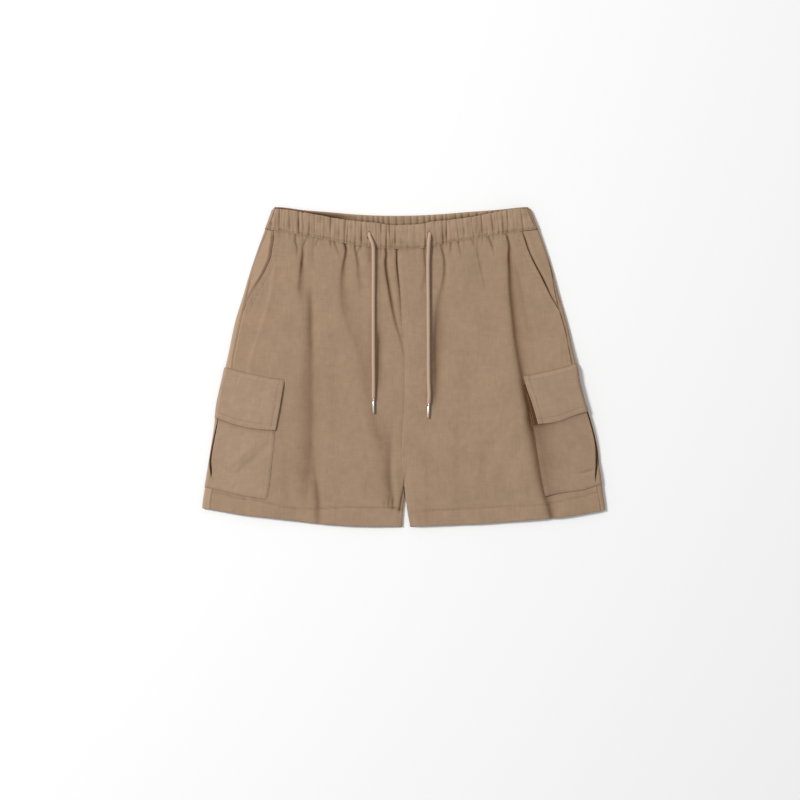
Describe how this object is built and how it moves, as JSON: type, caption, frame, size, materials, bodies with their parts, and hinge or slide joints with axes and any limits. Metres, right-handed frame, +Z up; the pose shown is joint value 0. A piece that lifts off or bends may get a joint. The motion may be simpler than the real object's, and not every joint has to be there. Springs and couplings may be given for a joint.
{
  "type": "cargo shorts laid flat",
  "caption": "Pull-on cargo shorts laid flat, with a gathered elastic waistband, drawstring, slash pockets and a flapped cargo pocket on each side.",
  "frame": {"origin": "point on the floor under the middle of the laid-out garment's box", "axes": "+Z up out of the front of the shorts, +Y towards the waist, +X towards the wearer's left"},
  "size_m": [0.515, 0.408, 0.0142],
  "materials": {
    "khaki_cotton": "matte, fine plain weave",
    "patch_cotton": "matte, fine plain weave",
    "band_cotton": "matte, fine plain weave, gathered",
    "cord_cotton": "matte braided cord",
    "tip_steel": "polished"
  },
  "bodies": {
    "root": {"front_right": "khaki_cotton", "front_left": "khaki_cotton", "back_right": "khaki_cotton", "back_left": "khaki_cotton", "hip_facing_right": "khaki_cotton", "hip_facing_left": "khaki_cotton", "cargo_pocket_right": "patch_cotton", "cargo_pocket_left": "patch_cotton", "cargo_flap_right": "patch_cotton", "cargo_flap_left": "patch_cotton", "waistband_front": "band_cotton", "waistband_back": "band_cotton", "drawstring_right": "cord_cotton", "drawstring_tip_right": "tip_steel", "drawstring_left": "cord_cotton", "drawstring_tip_left": "tip_steel"}
  },
  "joints": []
}
